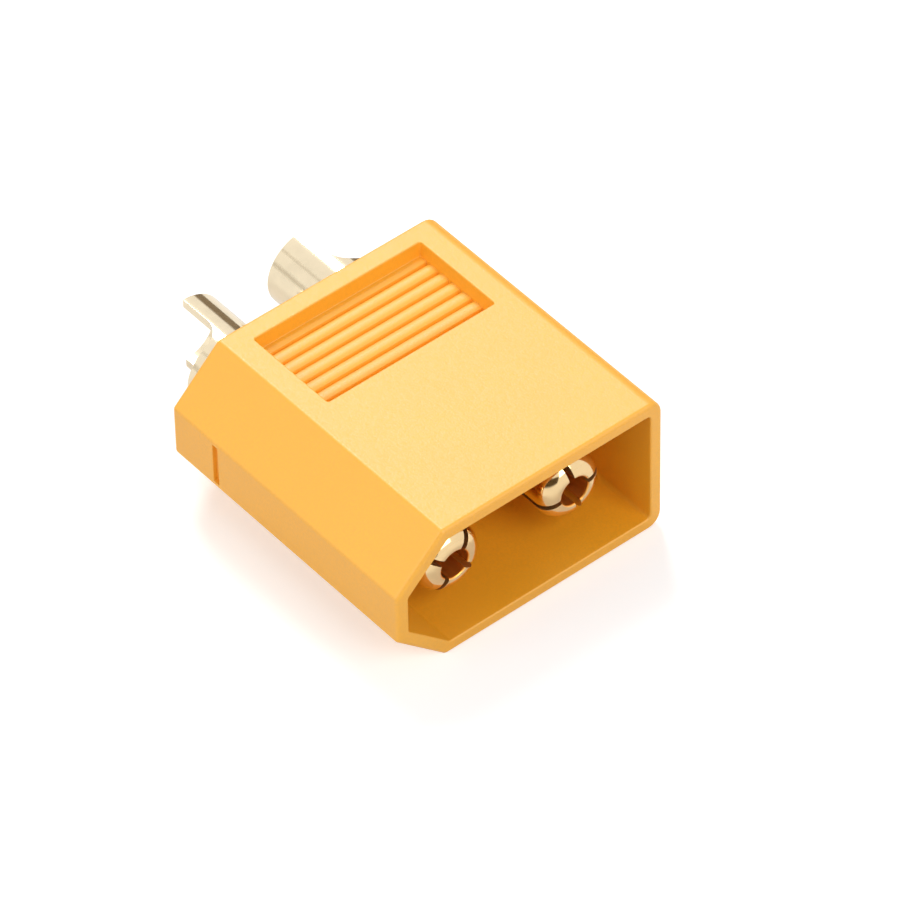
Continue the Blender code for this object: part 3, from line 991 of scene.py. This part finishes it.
def place_card(name, colour, bearing, width, low, high, fade):
    """Upright card out of view, which only metal and gloss pick up, as a soft darker streak."""
    turn = math.radians(bearing)
    outward = Vector((math.sin(turn), math.cos(turn), 0.0))
    along = Vector((outward.y, -outward.x, 0.0)) * width / 2
    bm = bmesh.new()
    bm.faces.new([bm.verts.new(outward * CARD_DISTANCE + along * end + Vector((0.0, 0.0, level)))
                  for end, level in ((-1, low), (1, low), (1, high), (-1, high))])
    card = mesh_object(name, bm)
    card.data.materials.append(matt_card(name, colour, low, high, fade))
    card.visible_camera = False
    card.visible_diffuse = False
    card.visible_shadow = False


def studio_camera():
    """Camera that stands where the photograph was taken."""
    data = bpy.data.cameras.new("camera")
    data.sensor_width = CAMERA_SENSOR_MM
    data.lens = CAMERA_LENS_MM
    data.clip_start, data.clip_end = CAMERA_CLIP
    camera = bpy.data.objects.new("camera", data)
    bpy.context.scene.collection.objects.link(camera)
    turn = Matrix.Rotation(CAMERA_TURN, 4, "Z") @ Matrix.Rotation(math.pi / 2 - CAMERA_HEIGHT, 4, "X")
    turn = turn @ Matrix.Rotation(CAMERA_ROLL, 4, "Z")
    back = Matrix.Translation((0.0, 0.0, CAMERA_DISTANCE))
    camera.matrix_world = Matrix.Translation(CAMERA_AIM) @ turn @ back
    return camera


class CONNECTOR_OT_studio(bpy.types.Operator):
    """Set up the floor, the white surroundings, the soft lights, the matt cards and the camera"""
    bl_idname = "connector.studio"
    bl_label = "Set up studio"

    def execute(self, context):
        studio = settings().studio
        floor = studio_floor(studio.floor_size)
        floor.data.materials.append(floor_white(studio))
        studio_world(studio.world_strength)
        softbox("left_light", (-0.85, 0.10, 0.45), width=0.6, height=0.6, power=studio.left_power)
        softbox("front_light", (0.05, -0.75, 0.66), width=0.6, height=0.6, power=studio.front_power)
        softbox("back_light", (0.26, 0.585, 0.768), width=0.28, height=0.5, power=studio.back_power)
        for sizes in CARDS:
            place_card(*sizes)
        context.scene.camera = studio_camera()
        context.scene.view_settings.view_transform = "Standard"
        return {"FINISHED"}


class CONNECTOR_PT_sidebar(bpy.types.Panel):
    """Lists the pieces of the connector in the order they are made"""
    bl_idname = "CONNECTOR_PT_sidebar"
    bl_label = "Power connector"
    bl_space_type = "VIEW_3D"
    bl_region_type = "UI"
    bl_category = "Connector"

    def draw(self, context):
        for operator in OPERATORS:
            self.layout.operator(operator.bl_idname)


OPERATORS = (CONNECTOR_OT_studio, CONNECTOR_OT_housing, CONNECTOR_OT_contacts, CONNECTOR_OT_marks)
CLASSES = (HousingSettings, ContactSettings, StudioSettings, ConnectorSettings,
           *OPERATORS, CONNECTOR_PT_sidebar)


def register():
    for item in CLASSES:
        bpy.utils.register_class(item)
    bpy.types.Scene.connector = PointerProperty(type=ConnectorSettings)


def unregister():
    del bpy.types.Scene.connector
    for item in reversed(CLASSES):
        bpy.utils.unregister_class(item)


def main():
    register()
    bpy.ops.connector.studio()
    bpy.ops.connector.housing()
    bpy.ops.connector.contacts()
    bpy.ops.connector.marks()


if __name__ == "__main__":
    main()
